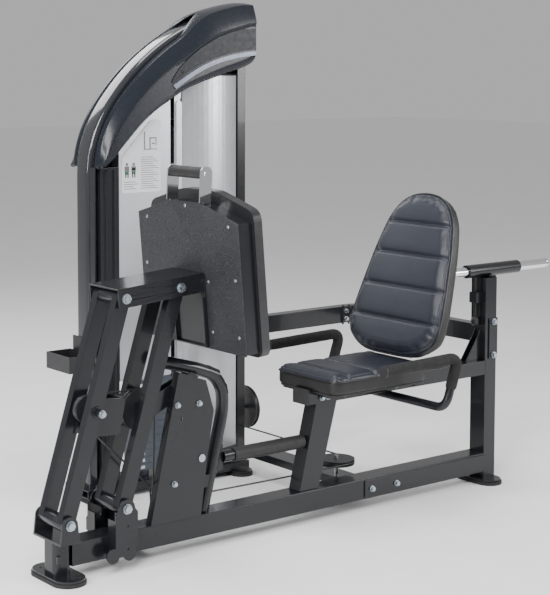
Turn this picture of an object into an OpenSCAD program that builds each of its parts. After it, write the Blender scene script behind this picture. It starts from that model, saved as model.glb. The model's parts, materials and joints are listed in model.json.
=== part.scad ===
// Seated leg press with a weight-stack tower. +X runs along the rail towards the seat,
// +Y runs to the tower, +Z is up. The origin is under the middle of the front foot.

/* [Rail] */
// Length of the floor rail
rail_len = 1844; // [1834:2:1854]
// Width of the rail tube
rail_w = 80; // [76:1:80]
// Underside and top of the rail
rail_z = [42, 117]; // [40:1:120]

/* [Linkage] */
// Pivot of the front arm on the front column
pivot_front = [-7, 187]; // [-10:1:190]
// Pivot of the rear arm on the middle bracket
pivot_rear = [202, 204]; // [200:1:206]
// Vector from each lower pivot to its upper pivot
arm_vec = [210, 684]; // [205:1:690]
// Depth of an arm tube
arm_depth = 50; // [44:1:50]
// Width of an arm tube
arm_w = 30; // [26:1:30]
// Radius of the pivot bolts
bolt_r = 8; // [7:0.5:8]

/* [Footplate] */
// Half width of the rear sheet
sheet_half = 275; // [260:5:280]
// Half width of the padded front plate
face_half = 285; // [275:5:290]
// Lean of the whole footplate
plate_tilt = 4.9; // [4:0.1:5.5]

/* [Seat] */
// Length of the seat pad
seat_len = 468; // [440:4:468]
// Half width of the seat pad
seat_half = 165; // [150:5:170]
// Recline of the back pad
back_tilt = 19.5; // [18:0.5:21]

/* [Tower] */
// Number of weight plates left on the base
plates_low = 9; // [4:1:9]
// Number of weight plates that the pin picks up
plates_up = 6; // [2:1:6]

/* [Hidden] */
$fn = 48;
run = 0.05;            // running clearance on a radius
wall = 3;              // wall of the square tubes
ear_out = 84;          // outer face of the clevis ears and of the beam
rail_x = 26;           // rail starts at the column
half_rail = rail_w / 2;
dark = "#4a4b4f";
silver = "#c9ccd0";
black = "#1d1d1f";
top_front = pivot_front + arm_vec;
top_rear = pivot_rear + arm_vec;
lean = atan2(arm_vec[0], arm_vec[1]);
beam_tilt = atan2(pivot_rear[1] - pivot_front[1], pivot_rear[0] - pivot_front[0]);
tower_y = 700;         // middle plane of the tower
seat_x = 992;
plate_x = [735, 1065];
plate_y = [662, 738];
plate_pitch = 26;
plate_t = 25;
stack_z = 76;
rod_x = [790, 1010];
rod_r = 12.5;
stem_x = 900;
cable_r = 3;
post_x = [1870, 1930];
slide_z = 816;
slide_r = 18;
arc_c1 = [972, 1190];
arc_r1 = 420;
arc_a1 = 36;
arc_r2 = 880;
arc_c2 = arc_c1 + (arc_r2 - arc_r1) * [cos(arc_a1), -sin(arc_a1)];
arc_end = 82;
pulley_arm = [105, 522];
arm_r = 38;
up_r = 62;
low_r = 50;
redirect_r = 62;
tower_r = 79;
pulley_up = [300, 495];
pulley_low = [412, 222];
redirect = [1240, 100];
tower_pulley_c = [1307, 727, 236];
drop_dir = [-0.968, -0.252];
top_z = 1450;
top_r = 50;
cab = cable_r + 0.3;   // from a groove's floor to the middle of the cable

// ---- small helpers -------------------------------------------------------------------
module box(lo, hi) {
    translate(lo) cube(hi - lo);
}
// an outline in X and Z, pushed from y0 to y1
module slab(y0, y1, pts) {
    translate([0, y1, 0]) rotate([90, 0, 0]) linear_extrude(y1 - y0) polygon(pts);
}
module slab2(y0, y1) {
    translate([0, y1, 0]) rotate([90, 0, 0]) linear_extrude(y1 - y0) children();
}
module pin_y(c, y0, y1, r) {
    translate([c[0], y0, c[1]]) rotate([-90, 0, 0]) cylinder(h = y1 - y0, r = r);
}
module pin_x(x0, x1, y, z, r) {
    translate([x0, y, z]) rotate([0, 90, 0]) cylinder(h = x1 - x0, r = r);
}
module hex_y(c, y0, y1, r) {
    translate([c[0], y0, c[1]]) rotate([-90, 0, 0]) cylinder(h = y1 - y0, r = r, $fn = 6);
}
// a hex-head bolt against a face at y, pointing to -Y, with its washer
module head_y(c, y, r = 12) {
    pin_y(c, y - 3, y, r * 1.25);
    hex_y(c, y - 12, y - 3, r);
}
module nut_y(c, y, r = 12) {
    pin_y(c, y, y + 3, r * 1.25);
    hex_y(c, y + 3, y + 14, r);
}
module oval(c, l, w, z0, z1) {
    translate([c[0], c[1], z0]) linear_extrude(z1 - z0) union() {
        square([l, w - l], center = true);
        for (s = [-1, 1]) translate([0, s * (w - l) / 2]) circle(d = l);
    }
}
module round_rect(l, w, r) {
    union() {
        square([l - 2 * r, w], center = true);
        square([l, w - 2 * r], center = true);
        for (i = [-1, 1]) for (j = [-1, 1])
            translate([i * (l / 2 - r), j * (w / 2 - r)]) circle(r);
    }
}
// round tube along a list of points, as rings carried along without twist
function unit(v) = v / norm(v);
function tangents(p) = [for (i = [0:len(p) - 1])
    unit(p[min(i + 1, len(p) - 1)] - p[max(i - 1, 0)])];
function carry(t, i, u) = i >= len(t) ? [] :
    let (w = unit(u - (u * t[i]) * t[i])) concat([w], carry(t, i + 1, w));
// corners of a polyline rounded with a quadratic curve that starts d before each corner
function bend(p, d, k) = concat([p[0]], [for (i = [1:len(p) - 2])
    let (a = p[i] + d * unit(p[i - 1] - p[i]), b = p[i] + d * unit(p[i + 1] - p[i]))
    for (j = [0:k]) let (s = j / k) (1 - s) * (1 - s) * a + 2 * s * (1 - s) * p[i] + s * s * b],
    [p[len(p) - 1]]);
module sweep(p, r, n = 16, up = [0.1, 0.7, 0.7]) {
    t = tangents(p);
    u = carry(t, 0, up);
    m = len(p);
    pts = [for (i = [0:m - 1]) for (k = [0:n - 1])
        p[i] + r * (cos(360 * k / n) * u[i] + sin(360 * k / n) * cross(t[i], u[i]))];
    sides = [for (i = [0:m - 2]) for (k = [0:n - 1])
        [i * n + k, i * n + (k + 1) % n, (i + 1) * n + (k + 1) % n, (i + 1) * n + k]];
    polyhedron(points = pts, faces = concat(
        [for (f = sides) [f[0], f[3], f[2], f[1]]],
        [[for (k = [0:n - 1]) k]],
        [[for (k = [n - 1:-1:0]) (m - 1) * n + k]]), convexity = 6);
}
// a grooved pulley with its axis along Z, bored for its axle
module pulley(r, w = 20, bore = 8) {
    rotate_extrude($fn = 64) polygon([
        [bore + run, -w / 2], [r + 5, -w / 2], [r + 5, -w / 2 + 3], [r, -4], [r, 4],
        [r + 5, w / 2 - 3], [r + 5, w / 2], [bore + run, w / 2]]);
}
module pulley_y(c, r) {
    translate([c[0], 0, c[1]]) rotate([90, 0, 0]) pulley(r);
}

// ---- floor frame ---------------------------------------------------------------------
module rail() {
    color(dark) difference() {
        box([rail_x, -half_rail, rail_z[0]], [rail_x + rail_len, half_rail, rail_z[1]]);
        box([rail_x - 1, -half_rail + wall, rail_z[0] + wall],
            [rail_x + rail_len + 1, half_rail - wall, rail_z[1] - wall]);
    }
}
module rubber_feet() {
    color(black) {
        oval([0, 0], 112, 232, 0, 12);
        oval([1885, 0], 100, 200, 0, 12);
        oval([548, tower_y], 90, 250, 0, 12);
        oval([1205, tower_y], 90, 250, 0, 12);
    }
}
module front_column() {
    color(dark) {
        difference() {
            oval([0, 0], 104, 224, 12, 20);
            for (i = [-1, 1]) for (j = [-1, 1])
                translate([i * 22, j * 72, 10]) cylinder(h = 12, r = 4);
        }
        translate([-5, 0, 20]) linear_extrude(107) difference() {
            round_rect(62, 76, 18);
            round_rect(56, 70, 15);
        }
        box([-30, -44, 60], [-16, -38, 84]);
    }
}
module ear(c, y0, y1, foot_z, half) {
    difference() {
        union() {
            pin_y(c, y0, y1, 28);
            slab(y0, y1, [[c[0] - half, foot_z], [c[0] + half, foot_z],
                [c[0] + 28, c[1]], [c[0] - 28, c[1]]]);
        }
        pin_y(c, y0 - 1, y1 + 1, bolt_r + run);
    }
}
module left_clevis() {
    color(dark) {
        box([-42, -ear_out, 127], [36, ear_out, 135]);
        for (s = [0, 1]) mirror([0, s, 0]) ear(pivot_front, 76, ear_out, 135, 34);
    }
}
module middle_bracket() {
    color(dark) for (s = [0, 1]) mirror([0, s, 0]) {
        difference() {
            union() {
                pin_y(pivot_rear, 79, ear_out, 30);
                slab(79, ear_out, [[159, 52], [215, 52], [243, 84], [243, 190],
                    [232, 204], [172, 204], [159, 190]]);
                for (x = [150, 212]) pin_y([x, 60], 79, ear_out, 24);
            }
            pin_y(pivot_rear, 78, ear_out + 1, bolt_r + run);
            for (z = [75, 148]) pin_y([205, z], 78, ear_out + 1, 4.5);
        }
        box([159, half_rail, 52], [164, 79, 170]);
        box([235, half_rail, 88], [240, 79, 170]);
    }
}
module splice_plates() {
    color(dark) {
        box([1251, -half_rail - 5, 50], [1868, -half_rail, 110]);
        box([1320, half_rail, 50], [1868, half_rail + 5, 110]);
    }
}
module frame_bolts() {
    color("#b8bcc2") {
        for (x = [1283, 1404]) head_y([x, 78], -half_rail - 5, 9);
        for (c = [[420, 500], [507, 495], [407, 242]]) head_y(c, -50, 8);
        pin_y([518, 311], -54, -50, 13);
        for (z = [492, 620]) head_y([1911, z], -42, 10);
        for (x = [1046, 1074]) head_y([x, 440], -half_rail, 8);
        for (x = [1150, 1400]) head_y([x, 440], -half_rail, 9);
        for (z = [556, 588]) head_y([1768, z], 642, 8);
    }
}
module pivot_bolts() {
    color("#b8bcc2") for (c = [pivot_front, pivot_rear]) {
        pin_y(c, -ear_out, ear_out, bolt_r);
        head_y(c, -ear_out, 13);
        nut_y(c, ear_out, 13);
    }
}
module front_link() {
    color(dark) translate([0, 0, 22]) linear_extrude(40) polygon([
        [300, half_rail + 0.2], [362, half_rail + 0.2], [362, 300], [640, 619.8], [560, 619.8],
        [300, 318]]);
}
module lower_link() {
    color(dark) {
        box([1225, half_rail + 0.2, 88], [1316, 640, 100]);
        for (x = [1225, 1312]) box([x, half_rail + 5.2, 70], [x + 4, 640, 88]);
    }
}

// ---- seat ----------------------------------------------------------------------------
module seat_post() {
    color(dark) difference() {
        slab(-30, 30, [[957, 117], [1042, 117], [1126, 420], [1031, 420]]);
        slab(-27, 27, [[961, 116], [1038, 116], [1122, 421], [1035, 421]]);
    }
}
module seat_tube() {
    color(dark) difference() {
        box([988, -40, 420], [1870, 40, 475]);
        box([987, -37, 423], [1871, 37, 472]);
    }
}
module tube_caps() {
    color(black) {
        box([982, -40, 420], [988, 40, 475]);
        for (s = [-1, 1]) pin_x(1085.5, 1091.2, s * 310, 569, 21);
    }
}
module seat_plate() {
    color(dark) for (x = [1020, 1400]) {
        for (s = [0, 1]) mirror([0, s, 0]) box([x, 40, 452], [x + 45, 140, 461.7]);
    }
}
module seat_pad() {
    color(black) difference() {
        slab(-seat_half, seat_half, [[seat_x, 462], [seat_x + seat_len, 462],
            [seat_x + seat_len, 522], [seat_x + seat_len - 8, 530], [seat_x + 14, 530],
            [seat_x, 516]]);
        // the seat tube lies in a channel under the pad
        box([seat_x - 1, -40.4, 461], [seat_x + seat_len + 1, 40.4, 475.3]);
    }
}
module step_bar() {
    color(dark) difference() {
        pin_x(640, 991.5, 0, 286, 20);
        pin_x(639, 992, 0, 286, 17);
    }
}
module step_sleeve() {
    color(black) difference() {
        pin_x(683, 989, 0, 286, 24);
        pin_x(682, 990, 0, 286, 20.1);
    }
}
d_path = bend([[385, 0, 640], [560, 0, 592], [628, 0, 560], [648, 0, 470], [557.5, 0, 122.8]], 60, 6);
module d_frame() {
    color(dark) {
        sweep(d_path, 21, 16, [0, 1, 0]);
        // bracket that carries the upper and the lower pulley
        for (s = [0, 1]) mirror([0, s, 0]) {
            difference() {
                slab(14, 19, [[280, 470], [330, 458], [420, 500], [530, 576], [500, 594],
                    [320, 522], [280, 520]]);
                pin_y(pulley_up, 13, 20, bolt_r + run);
            }
            difference() {
                slab(14, 19, [[390, 190], [436, 190], [566, 200], [575, 240], [436, 248],
                    [390, 248]]);
                pin_y(pulley_low, 13, 20, bolt_r + run);
            }
        }
        // plate that joins the step bar to the bent tube
        box([592, -5, 240], [640, 5, 330]);
    }
}
module guard_plate() {
    color(dark) difference() {
        union() {
            slab(-50, -45, [[428, 607], [537, 567], [569, 463], [545, 333], [516, 119],
                [316, 119]]);
            slab(-45, -19.5, [[428, 607], [433, 605], [321, 119], [316, 119]]);
        }
        pin_y([440, 451], -51, -44, 6);
    }
}
// side, in front of the seat and below it: one bent tube on each side of the cross piece
handle_path = bend([[1093, -310, 569], [1442, -310, 578], [1382, -310, 404],
    [1382, 310, 404], [1442, 310, 578], [1093, 310, 569]], 46, 6);
module handle_tube() {
    color(dark) sweep(handle_path, 15.5, 16, [0, 0, 1]);
}
module handle_grips() {
    color(black) for (s = [0, 1]) mirror([0, s, 0]) difference() {
        sweep([[1092, 310, 569], [1200, 310, 571.8], [1300, 310, 574.3], [1390, 310, 576.7]],
            20, 16, [0, 0, 1]);
        sweep([[1070, 310, 568.4], [1420, 310, 577.4]], 15.9, 16, [0, 0, 1]);
    }
}
module rear_post() {
    color(dark) {
        difference() {
            box([post_x[0], -37, 20], [post_x[1], 37, 790]);
            box([post_x[0] + wall, -34, 19], [post_x[1] - wall, 34, 791]);
        }
        slab(-4, 4, [[post_x[1], 790], [1962, 790], [1962, 740], [post_x[1], 560]]);
        oval([1885, 0], 92, 190, 12, 20);
        difference() {
            box([1838, -18, 695], [1870, 18, 735]);
            translate([1852, 0, 694]) cylinder(h = 42, r = 6 + run);
        }
    }
}
module rear_plates() {
    color(dark) {
        slab(-42, -37, [[1888, 480], [1932, 480], [1932, 635], [1888, 635]]);
        for (s = [0, 1]) mirror([0, s, 0])
            slab(12, 16, [[1790, 475], [1870, 475], [1870, 596], [1848, 560]]);
    }
}
module back_sleeve() {
    color(dark) difference() {
        pin_x(1800, 2080, 0, slide_z, 25);
        pin_x(1799, 2081, 0, slide_z, slide_r + run);
        translate([1852, 0, 780]) cylinder(h = 40, r = 6 + run);
    }
}
module slide_tube() {
    color("#dfe2e6") {
        difference() {
            pin_x(1600, 2240, 0, slide_z, slide_r);
            pin_x(1599, 2241, 0, slide_z, slide_r - 3);
            // slot under the tube, where the row of locking holes is
            box([1652, -7, slide_z - slide_r - 1], [2010, 7, slide_z - slide_r + 5]);
        }
    }
    color(black) pin_x(2240.3, 2246, 0, slide_z, 19);
    // plate on the back of the pad
    color(dark) translate([1409, 0, 650]) rotate([0, back_tilt, 0])
        box([60.3, -60, -40], [65.3, 60, 320]);
    color(dark) slab(-20, 20, [[1600, 800], [1600, 832], [1544.6, 832], [1533.2, 800]]);
}
module back_pad() {
    color(black) translate([1409, 0, 650]) rotate([0, back_tilt, 0]) {
        // outline in the plane of the pad, tapering to a rounded top
        side = [[-102, 80], [-94, 132], [-74, 178], [-40, 222], [0, 234], [70, 233], [208, 213],
            [308, 196], [410, 168], [469, 130], [503, 75]];
        translate([60, 0, 0]) rotate([0, -90, 0]) linear_extrude(60) polygon(concat(side,
            [[514, 0]], [for (i = [len(side) - 1:-1:0]) [side[i][0], -side[i][1]]]));
    }
}
module pop_pin() {
    color("#dfe2e6") translate([1852, 0, 0]) {
        translate([0, 0, 640]) cylinder(h = 162.5, r = 6);
    }
    color(black) translate([1852, 0, 640]) rotate_extrude() polygon([
        [0, -34], [10, -34], [16, -28], [16, -10], [9, 0], [0, 0]]);
}

// ---- tower ---------------------------------------------------------------------------
module cross_tube_section(grow) {
    square([50 - 2 * grow, 68 - 2 * grow], center = true);
}
module cross_tube() {
    color(dark) {
        difference() {
            union() {
                box([1247.2, 650, 538], [1790, 700, 606]);
                translate([1790, 565, 572]) rotate_extrude(angle = 90)
                    translate([110, 0]) cross_tube_section(0);
                box([1875, 37.2, 538], [1925, 565, 606]);
            }
            box([1246, 653, 541], [1790, 697, 603]);
            translate([1790, 565, 572]) rotate_extrude(angle = 90)
                translate([110, 0]) cross_tube_section(wall);
            box([1878, 36, 541], [1922, 565, 603]);
        }
        for (x = [1752, 1784]) box([x, 642, 532], [x + 6, 650, 612]);
        box([1758, 642, 540], [1784, 650, 604]);
    }
}
module tower_base() {
    color(dark) {
        difference() {
            box([500, 620, 20], [1245, 780, 50]);
            box([499, 624, 24], [1246, 776, 46]);
        }
        oval([548, tower_y], 84, 244, 12, 20);
        oval([1205, tower_y], 84, 244, 12, 20);
        box([1200, 622, 50], [1224.8, 640, 100]);
    }
}
module arc_section() {
    difference() {
        round_rect(44, 80, 16);
        round_rect(38, 74, 13);
    }
}
// one bent stretch of the tube, between two angles measured from the vertical tube;
// stretches stand 0.1 mm apart
module arc_stretch(c, radius, a0, a1) {
    gap = 0.1 / radius * 57.3;
    translate([c[0], tower_y, c[1]]) rotate([90, 0, 0])
        rotate([0, 0, 180 - a1]) rotate_extrude(angle = a1 - a0 - gap, $fn = 96)
        translate([radius, 0]) arc_section();
}
module tower_arc() {
    color("#8f9298") {
        translate([552, tower_y, 50]) linear_extrude(arc_c1[1] - 50.1) arc_section();
        arc_stretch(arc_c1, arc_r1, 0, arc_a1);
        arc_stretch(arc_c2, arc_r2, arc_a1, arc_end);
    }
}
module tower_columns() {
    color(dark) {
        difference() {
            box([580, 650, 50], [660, 750, 1225]);
            box([584, 654, 49], [656, 746, 1226]);
        }
        for (x = [598, 634]) box([x, 642, 60], [x + 8, 650, 1215]);
        box([1207, 650, 50], [1247, 750, 1600]);
        // head bar that holds the guide rods
        difference() {
            box([660, 690, 1370], [1207, 710, 1390]);
            translate([stem_x, tower_y, 1369]) cylinder(h = 22, r = 6);
        }
        box([640, 690, 1225], [660, 710, 1390]);
        // bars that carry the two top pulleys
        box([925, 690, 1562.3], [1207, 735, 1580]);
        box([1207, 750, 1562.3], [1275, 815, 1580]);
    }
}
module tower_panels() {
    color(silver) for (y = [650, 747]) {
        slab(y, y + 3, [[660.3, 430], [891, 430], [891, 1524], [840, 1490], [660.3, 1330]]);
        slab(y, y + 3, [[909, 430], [940, 430], [940, 1548], [909, 1535]]);
    }
}
function arc_pts(n, sag, w) = [for (i = [0:n]) let (s = 2 * i / n - 1) [w * (i / n), -sag * (1 - s * s)]];
module cover_side(top) {
    linear_extrude(top - 115) polygon(concat(arc_pts(12, 26, 256),
        [for (i = [12:-1:0]) arc_pts(12, 26, 256)[i] + [0, 3]]));
}
module tower_cover() {
    color(silver) {
        translate([944, 650, 115]) cover_side(1556);
        translate([944, 750, 115]) mirror([0, 1, 0]) cover_side(1490);
    }
}
function ring(c, r, a0, a1, n) = [for (i = [0:n]) let (a = a0 + (a1 - a0) * i / n)
    [c[0] - r * cos(a), c[1] + r * sin(a)]];
shroud_low = [[1265, 1620], [1215, 1591], [978, 1523], [866, 1468], [760, 1400], [645, 1290],
    [598, 1245]];
// the sides stand 36 mm lower beside the open stretch of the arc tube than at the cap
function shroud_top(g) = concat([[arc_c1[0] - arc_r1 - g + 36, 1225]],
    ring(arc_c1, arc_r1 + g - 36, 6, arc_a1, 6), ring(arc_c2, arc_r2 + g - 36, arc_a1 + 4, 60, 4),
    ring(arc_c2, arc_r2 + g, crown_a, arc_end + 2, 3));
crown_a = 70;          // the cap over the arc tube starts at this angle
module shroud() {
    color("#5d6066") difference() {
        slab(604, 796, concat(shroud_top(34), [[1265, 1812]], shroud_low));
        slab(620, 780, concat(shroud_top(26), [[1240, 1798], [1240, 1500], [546, 1100]]));
        slab(620, 780, [[1240, 1700], [1262, 1700], [1262, 1500], [1240, 1500]]);
        // below the cap, the arc tube's outer face stays in view
        slab(640, 760, concat([[arc_c1[0] - arc_r1 - 60, 1100]],
            ring(arc_c1, arc_r1 + 60, 0, arc_a1, 5), ring(arc_c2, arc_r2 + 60, arc_a1, crown_a, 5),
            ring(arc_c2, arc_r2 - 90, crown_a, arc_a1, 3), [[700, 1200]]));
    }
}
module tray() {
    color(black) {
        difference() {
            box([427, 625, 490], [529.7, 785, 550]);
            box([431, 629, 494], [526, 781, 551]);
        }
        box([525.7, 650, 550], [529.7, 760, 605]);
    }
}
module guide_rods() {
    color("#dfe2e6") for (x = rod_x) translate([x, tower_y, 50]) cylinder(h = 1320, r = rod_r);
}
module weight(z) {
    difference() {
        box([plate_x[0], plate_y[0], z], [plate_x[1], plate_y[1], z + plate_t]);
        for (x = rod_x) translate([x, tower_y, z - 1]) cylinder(h = plate_t + 2, r = rod_r + 1.5);
        translate([stem_x, tower_y, z - 1]) cylinder(h = plate_t + 2, r = 14);
        pin_y([stem_x, z + plate_t / 2], plate_y[0] - 1, plate_y[1] - 20, 5.5);
    }
}
module weight_plates() {
    color("#6f7378") {
        for (i = [0:plates_low - 1]) weight(stack_z + i * plate_pitch);
        for (x = rod_x) difference() {
            translate([x, tower_y, 50.2]) cylinder(h = stack_z - 50.4, r = 26);
            translate([x, tower_y, 49]) cylinder(h = 40, r = rod_r + 1.5);
        }
    }
}
lift_z = stack_z + plates_low * plate_pitch;
module lifted_plates() {
    color("#6f7378") for (i = [0:plates_up - 1]) weight(lift_z + i * plate_pitch);
    top = lift_z + plates_up * plate_pitch;
    color("#8a8e94") {
        difference() {
            box([plate_x[0], plate_y[0], top], [plate_x[1], plate_y[1], top + 22]);
            for (x = rod_x) translate([x, tower_y, top - 1]) cylinder(h = 24, r = rod_r + run);
        }
        translate([stem_x, tower_y, top + 22]) cylinder(h = 60, r = 14);
        // stem that hangs down through the plates, drilled for the selector pin
        difference() {
            translate([stem_x, tower_y, lift_z]) cylinder(h = top - lift_z, r = 12.5);
            for (i = [0:plates_up - 1])
                pin_y([stem_x, lift_z + i * plate_pitch + plate_t / 2], 680, 720, 5.5);
        }
    }
}
module selector_pin() {
    z = lift_z + plate_t / 2;
    color("#dfe2e6") pin_y([stem_x, z], 648.5, 715, 5);
    color("#c8a020") pin_y([stem_x, z], 622, 648.5, 13);
}

// ---- pulleys, axles and cable --------------------------------------------------------
module pulley_axles() {
    color("#b8bcc2") {
        for (c = [pulley_up, pulley_low]) {
            pin_y(c, -19, 19, bolt_r);
            head_y(c, -19, 11);
            nut_y(c, 19, 11);
        }
        translate([redirect[0], redirect[1], 100.2]) cylinder(h = 78, r = bolt_r);
        pin_x(1247.2, 1330, tower_pulley_c[1], tower_pulley_c[2], bolt_r);
        for (c = top_centres) translate([c[0], c[1], top_z]) rotate([0, 0, drop_angle])
            rotate([90, 0, 0]) {
                translate([0, 0, -20]) cylinder(h = 40, r = bolt_r);
                for (s = [-20, 15]) translate([-8, -8, s]) cube([16, 120, 5]);
            }
        // stud that anchors the fixed end of the cable
        translate([352, 0, rail_z[1] + 0.2]) cylinder(h = 32.5, r = 7);
    }
}
drop_angle = atan2(drop_dir[1], drop_dir[0]);
rise = [tower_pulley_c[0], tower_pulley_c[1] + tower_r + cab];
top_centres = [rise + (top_r + cab) * drop_dir, [stem_x, tower_y] - (top_r + cab) * drop_dir];
module top_pulley(c) {
    translate([c[0], c[1], top_z]) rotate([0, 0, drop_angle]) rotate([90, 0, 0]) pulley(top_r);
}
// points on a circle in the X-Z plane, for the cable's wraps
function wrap_xz(c, r, a0, a1, n) = [for (i = [0:n]) let (a = a0 + (a1 - a0) * i / n)
    [c[0] + r * cos(a), 0, c[1] + r * sin(a)]];
module cable_front() {
    color(black) sweep(concat(
        [[352, 0, 150], [346, 0, 233], [240, 0, 338]],
        wrap_xz(pulley_arm, arm_r + cab, -135, -269, 13),
        [[200, 0, 562], [224.4, 0, 561.5]]), cable_r, 8, [0, 1, 0]);
}
module cable_rear() {
    color(black) sweep(concat(
        [[225, 0, 561.5], [250, 0, 561]],
        wrap_xz(pulley_up, up_r + cab, 90, 1, 10),
        [[364, 0, 400]],
        wrap_xz(pulley_low, low_r + cab, 181, 270, 9),
        [[535, 27, 166], [900, 36, 158], [1180, 35, 157]],
        [for (i = [0:10]) let (a = -90 + i * 9) [redirect[0] + (redirect_r + cab) * cos(a),
            redirect[1] + (redirect_r + cab) * sin(a), 157]],
        [[1306, 400, 155], [1307, 700, tower_pulley_c[2] - tower_r - cab]],
        [for (i = [0:10]) let (a = -90 + i * 9) [1307, tower_pulley_c[1] + (tower_r + cab) * cos(a),
            tower_pulley_c[2] + (tower_r + cab) * sin(a)]],
        [[1307, rise[1], 800]],
        [for (i = [0:9]) let (a = i * 10) top_point(top_centres[0], 180 - a)],
        [for (i = [0:9]) let (a = 90 - i * 10) top_point(top_centres[1], a)]),
        cable_r, 8, [0, 0, 1]);
}
// point of a top pulley's wrap at angle a, measured from the direction of the stack
function top_point(c, a) = [c[0] + (top_r + cab) * cos(a) * drop_dir[0],
    c[1] + (top_r + cab) * cos(a) * drop_dir[1], top_z + (top_r + cab) * sin(a)];
module cable_drop() {
    end = top_point(top_centres[1], 0);
    color(black) translate([end[0], end[1], lift_z + plates_up * plate_pitch + 82.3])
        cylinder(h = top_z - lift_z - plates_up * plate_pitch - 83, r = cable_r);
}

// ---- linkage -------------------------------------------------------------------------
// one leg of an arm: a closed rectangular tube
module arm_tube() {
    len = norm(arm_vec);
    difference() {
        box([-arm_depth / 2, 70 - arm_w, 0], [arm_depth / 2, 70, len]);
        box([-arm_depth / 2 + wall, 70 - arm_w + wall, 40],
            [arm_depth / 2 - wall, 70 - wall, len - 40]);
    }
}
module arm(low) {
    high = low + arm_vec;
    difference() {
        union() {
            for (s = [0, 1]) mirror([0, s, 0])
                translate([low[0], 0, low[1]]) rotate([0, lean, 0])
                    arm_tube();
            for (c = [low, high]) pin_y(c, -75.6, 75.6, 25);
        }
        for (c = [low, high]) pin_y(c, -80, 80, bolt_r + run);
    }
}
module front_arm() {
    color(dark) arm(pivot_front);
    color(dark) for (s = [0, 1]) mirror([0, s, 0]) difference() {
        pin_y(pulley_arm, 70, 74, 21);
        pin_y(pulley_arm, 69, 75, bolt_r + run);
    }
}
module rear_arm() {
    color(dark) arm(pivot_rear);
}
module arm_pulley_bracket() {
    color(dark) difference() {
        union() {
            for (s = [0, 1]) mirror([0, s, 0])
                slab(34, 39.7, [[84, 440], [205, 434], [228, 547], [118, 560]]);
            // back wall that joins the two sides
            slab(-34, 34, [[200, 434], [205, 434], [228, 547], [223, 547]]);
        }
        pin_y(pulley_arm, -80, 80, bolt_r + run);
    }
    color("#b8bcc2") {
        pin_y(pulley_arm, -33.7, 33.7, bolt_r);
        pin_y(pulley_arm, -92, -74.3, 12);
        head_y(pulley_arm, -92, 9);
    }
}
module beam_local() {
    translate([top_front[0], 0, top_front[1]]) rotate([0, -beam_tilt, 0]) children();
}
beam_span = norm(top_rear - top_front);
module beam() {
    color(dark) {
        beam_local() difference() {
            box([-28, -ear_out, -29], [beam_span + 92, ear_out, 34]);
            box([-29, -ear_out + 5, -30], [beam_span + 93, ear_out - 5, 29]);
            for (x = [0, beam_span]) pin_y([x, 0], -ear_out - 1, ear_out + 1, bolt_r + run);
        }
        // channel that the footplate bolts to
        translate([506, 0, 900]) rotate([0, -plate_tilt, 0]) {
            box([-2, -ear_out, -212], [3, ear_out, 20]);
            box([-13, -ear_out, -212], [-2, -ear_out + 5, -52]);
            box([-13, ear_out - 5, -212], [-2, ear_out, -52]);
            box([-13, -ear_out, -217], [3, ear_out, -212]);
        }
    }
}
module carriage_bolts() {
    color("#b8bcc2") for (c = [top_front, top_rear]) {
        pin_y(c, -ear_out, ear_out, bolt_r);
        head_y(c, -ear_out, 13);
        nut_y(c, ear_out, 13);
    }
}
// outline of the footplate in Y and Z, from its lean point at z = 900
function plate_outline(half, low, side, flat, high) = [[-half, low], [half, low], [half, side],
    [flat, high], [-flat, high], [-half, side]];
module plate_layer(x0, x1, pts) {
    translate([509.5, 0, 900]) rotate([0, -plate_tilt, 0]) translate([x1, 0, 0])
        rotate([0, -90, 0]) linear_extrude(x1 - x0) polygon([for (p = pts) [p[1], p[0]]]);
}
module footplate_sheet() {
    color("#6b6d72") plate_layer(0, 3, plate_outline(sheet_half, -223, 203, 83, 256));
}
module footplate_pan() {
    color(dark) difference() {
        plate_layer(3.1, 58, plate_outline(sheet_half - 4, -220, 200, 83, 252));
        plate_layer(6, 59, plate_outline(sheet_half - 8, -216, 197, 80, 248));
    }
}
module footplate_face() {
    color(black) plate_layer(58.2, 90, plate_outline(face_half, -238, 233, 90, 288));
}
module plate_handle() {
    color("#dfe2e6") for (s = [0, 1]) mirror([0, s, 0]) difference() {
        union() {
            slab(88.3, 93.3, [[493, 1152], [524, 1152], [530, 1250], [484, 1250], [480, 1157],
                [493, 1157]]);
            pin_y([507, 1250], 88.3, 93.3, 23);
        }
        pin_y([507, 1250], 87, 95, 5 + run);
    }
    color("#b8bcc2") for (s = [0, 1]) mirror([0, s, 0]) {
        pin_y([507, 1250], 93.3, 97.3, 9);
        pin_y([507, 1250], 70, 93.3, 5);
    }
}
module plate_grip() {
    color(black) difference() {
        pin_y([507, 1250], -88, 88, 19);
        for (s = [-1, 1]) pin_y([507, 1250], s > 0 ? 60 : -89, s > 0 ? 89 : -60, 5 + run);
    }
}

rail();
rubber_feet();
front_column();
left_clevis();
middle_bracket();
splice_plates();
frame_bolts();
pivot_bolts();
seat_post();
seat_tube();
tube_caps();
seat_plate();
seat_pad();
step_bar();
step_sleeve();
d_frame();
guard_plate();
handle_tube();
handle_grips();
rear_post();
rear_plates();
back_sleeve();
cross_tube();
lower_link();
front_link();
tower_base();
tower_arc();
tower_columns();
tower_panels();
tower_cover();
shroud();
tray();
guide_rods();
weight_plates();
pulley_axles();
cable_front();
cable_rear();
cable_drop();
front_arm();
arm_pulley_bracket();
rear_arm();
beam();
carriage_bolts();
footplate_sheet();
footplate_pan();
footplate_face();
plate_handle();
plate_grip();
pulley_y(pulley_arm, arm_r);  // arm_pulley
pulley_y(pulley_up, up_r);  // upper_pulley
pulley_y(pulley_low, low_r);  // lower_pulley
translate([redirect[0], redirect[1], 157]) pulley(redirect_r);  // redirect_pulley
translate(tower_pulley_c) rotate([0, 90, 0]) pulley(tower_r);  // tower_pulley
top_pulley(top_centres[0]);  // top_pulley_outer
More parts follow.
